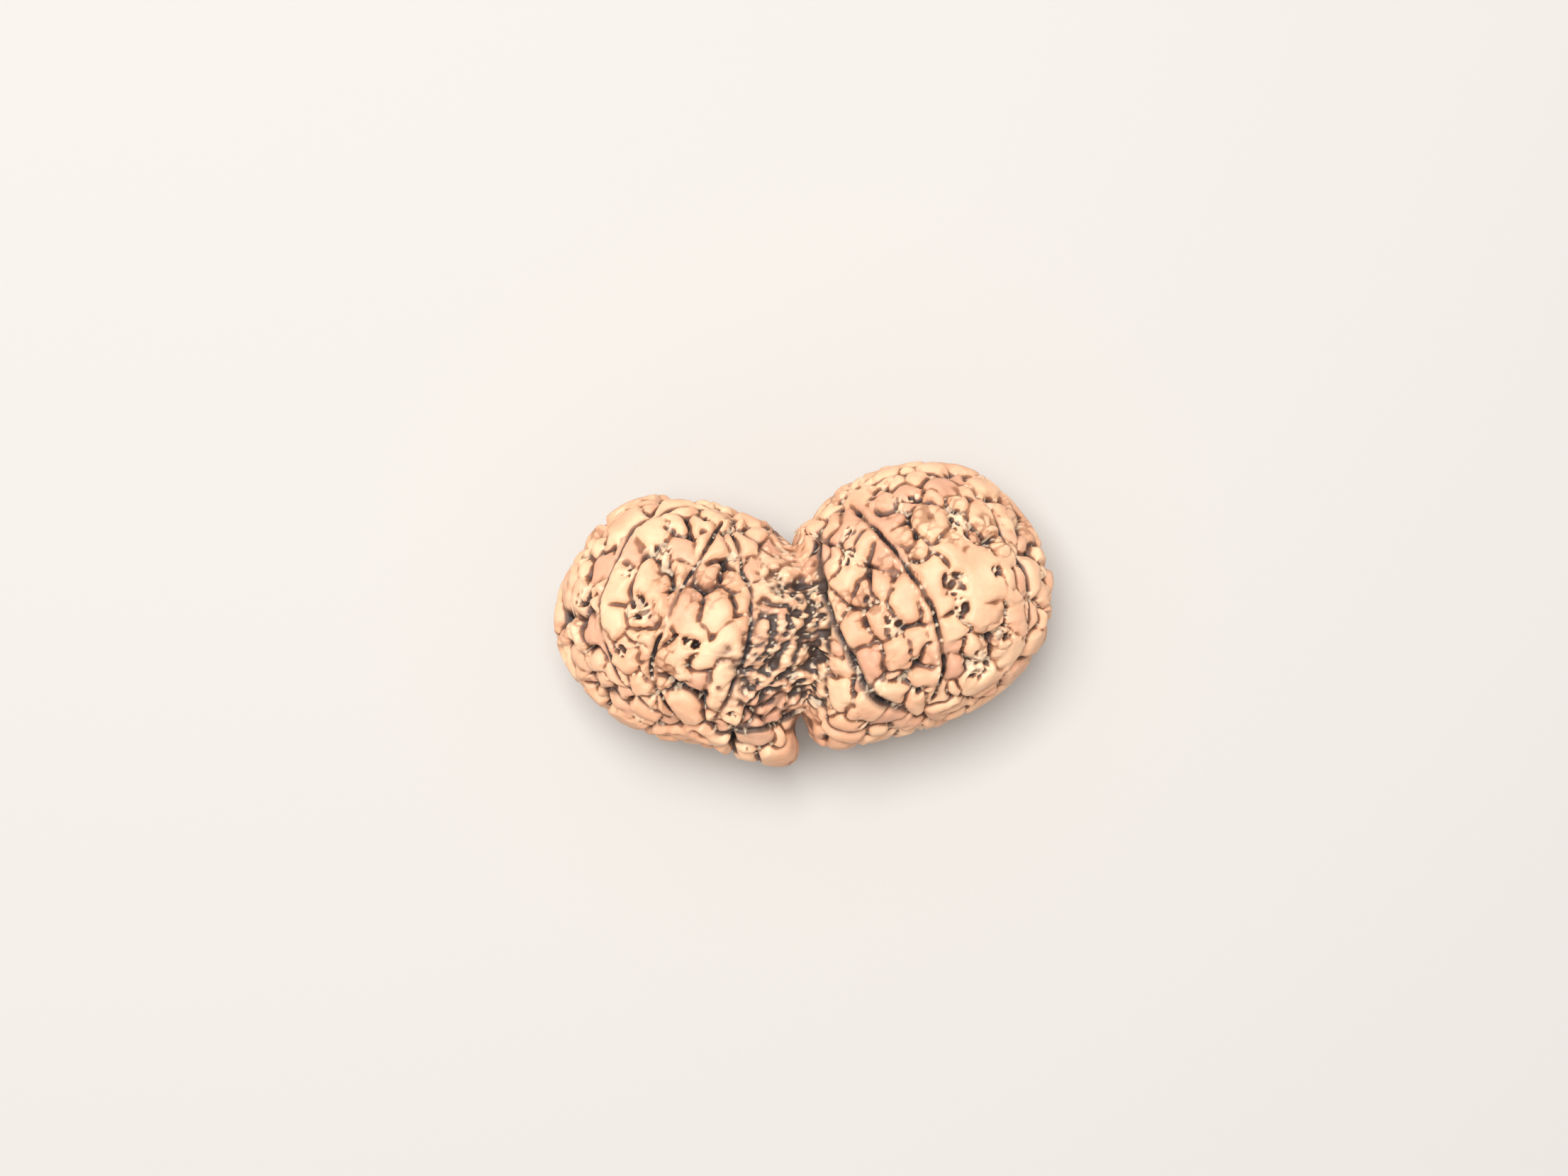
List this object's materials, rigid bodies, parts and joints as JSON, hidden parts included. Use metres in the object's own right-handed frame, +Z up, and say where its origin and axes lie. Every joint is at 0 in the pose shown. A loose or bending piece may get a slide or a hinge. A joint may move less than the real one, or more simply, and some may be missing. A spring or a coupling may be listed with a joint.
{
  "type": "twin rudraksha seed",
  "caption": "Twin rudraksha stone: rounded woody lobes grown together at a rough waist, with raised plates, pole-to-pole furrows and pits; worn as a bead.",
  "frame": {"origin": "on the surface it rests on, under the middle of its bounding box", "axes": "+X through both lobes towards the rounder one, +Y towards the open notch at the waist, +Z up"},
  "size_m": [0.0318, 0.0182, 0.0154],
  "materials": {
    "woody_shell": "satin"
  },
  "bodies": {
    "root": {"twin_stone": "woody_shell"}
  },
  "joints": []
}
